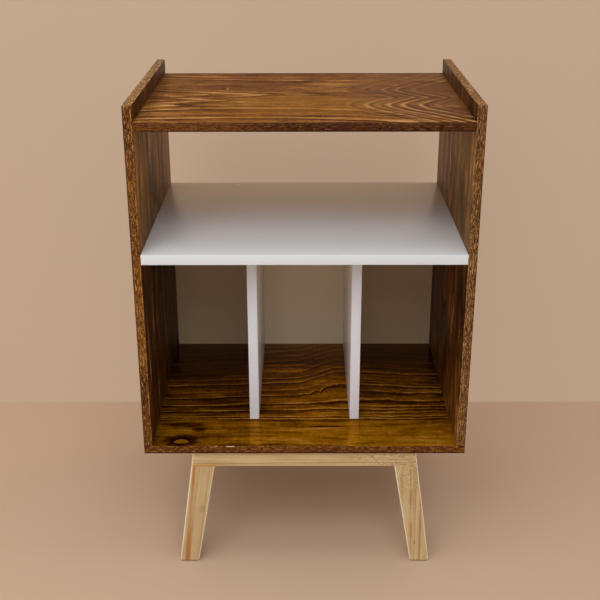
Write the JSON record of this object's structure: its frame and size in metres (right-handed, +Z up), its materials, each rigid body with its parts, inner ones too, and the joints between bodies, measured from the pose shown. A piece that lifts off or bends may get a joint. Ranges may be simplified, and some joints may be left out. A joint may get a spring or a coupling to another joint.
{
  "type": "record storage stand",
  "caption": "Free-standing record cabinet: raised sides round a top tray, an open compartment over a white shelf, upright record bays with a back, and a splayed-leg timber base.",
  "frame": {"origin": "on the floor, under the middle of the stand", "axes": "+Z up, +Y towards the back of the stand, so the open front faces -Y, and +X to the right of someone facing the front"},
  "size_m": [0.6, 0.46, 0.905],
  "materials": {
    "stained_plywood": "pine-faced plywood, dark walnut stain, satin clear lacquer, glossier on the bottom panel",
    "white_board": "chipboard with smooth white melamine faces, semi-gloss",
    "white_edge_band": "white edge band, semi-gloss",
    "white_back": "hardboard with a smooth white front",
    "pine": "natural pine, planed and sanded, thin matt clear coat",
    "dowel_beech": "plain beech",
    "screw_steel": "zinc-plated steel",
    "felt": "brown felt"
  },
  "bodies": {
    "root": {"side_panel_left": "stained_plywood", "side_panel_right": "stained_plywood", "top_panel": "stained_plywood", "bottom_panel": "stained_plywood", "middle_shelf": "white_board", "shelf_edge_band": "white_edge_band", "divider_left": "white_board", "divider_right": "white_board", "divider_left_edge_band": "white_edge_band", "divider_right_edge_band": "white_edge_band", "back_panel": "white_back", "back_panel_screws": "screw_steel", "front_rail": "pine", "rear_rail": "pine", "side_rail_left": "pine", "side_rail_right": "pine", "leg_front_left": "pine", "leg_front_right": "pine", "leg_rear_left": "pine", "leg_rear_right": "pine", "felt_pads": "felt", "bottom_dowels": "dowel_beech", "top_dowels": "dowel_beech", "shelf_dowels": "dowel_beech", "divider_dowels": "dowel_beech", "leg_dowels": "dowel_beech", "side_rail_dowels": "dowel_beech", "base_screws": "screw_steel"}
  },
  "joints": []
}
